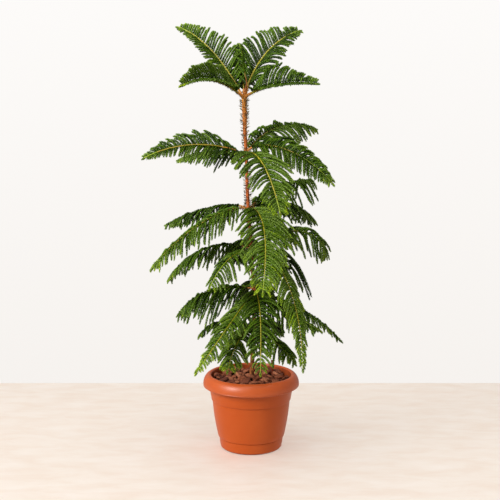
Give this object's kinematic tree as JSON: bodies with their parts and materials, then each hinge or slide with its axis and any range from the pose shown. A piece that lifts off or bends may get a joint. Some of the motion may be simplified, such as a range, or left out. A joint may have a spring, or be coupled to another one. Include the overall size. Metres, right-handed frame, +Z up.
{
  "type": "potted norfolk island pine",
  "caption": "Young Norfolk Island pine (Araucaria heterophylla) with whorls of feathery boughs on a slender trunk, in a round terracotta-coloured plastic pot topped with bark mulch",
  "frame": {"origin": "the centre of the pot's flat underside, on the floor it stands on", "axes": "+Z up along the pot's axis, -Y towards the plant's front, +X to the right seen from the front"},
  "size_m": [0.4929, 0.4803, 1.0543],
  "materials": {
    "pot_plastic": "matt injection-moulded plastic, terracotta colour",
    "potting_mix": "dark crumbly potting mix",
    "bark_chips": "loose flat pine-bark chips, reddish brown",
    "bark": "thin scaly orange-brown bark with small dark needles",
    "young_stem": "smooth reddish young bark",
    "bough": "smooth yellow-green young bark",
    "needles": "short curved green needles, lighter at the tips"
  },
  "bodies": {
    "root": {"foliage_s1": "needles", "foliage_s2": "needles", "foliage_s3": "needles", "foliage_s4": "needles", "foliage_s5": "needles", "foliage_t1": "needles", "foliage_t2": "needles", "foliage_t3": "needles", "foliage_t4": "needles", "foliage_t5": "needles", "foliage_u1": "needles", "foliage_u2": "needles", "foliage_u3": "needles", "foliage_u4": "needles", "foliage_u5": "needles", "foliage_u6": "needles", "foliage_v1": "needles", "foliage_v2": "needles", "foliage_v3": "needles", "foliage_v4": "needles", "foliage_v5": "needles", "foliage_v6": "needles", "foliage_w1": "needles", "foliage_w2": "needles", "foliage_w3": "needles", "foliage_w4": "needles", "foliage_w5": "needles", "foliage_w6": "needles", "foliage_x1": "needles", "foliage_x2": "needles", "foliage_x3": "needles", "foliage_x4": "needles", "limb_s1": "bough", "limb_s2": "bough", "limb_s3": "bough", "limb_s4": "bough", "limb_s5": "bough", "limb_t1": "bough", "limb_t2": "bough", "limb_t3": "bough", "limb_t4": "bough", "limb_t5": "bough", "limb_u1": "bough", "limb_u2": "bough", "limb_u3": "bough", "limb_u4": "bough", "limb_u5": "bough", "limb_u6": "bough", "limb_v1": "bough", "limb_v2": "bough", "limb_v4": "bough", "limb_v5": "bough", "limb_w1": "bough", "limb_w2": "bough", "limb_w4": "bough", "mulch": "bark_chips", "pot": "pot_plastic", "root_ball": "potting_mix", "second_stem": "young_stem", "trunk": "bark"}
  },
  "joints": []
}
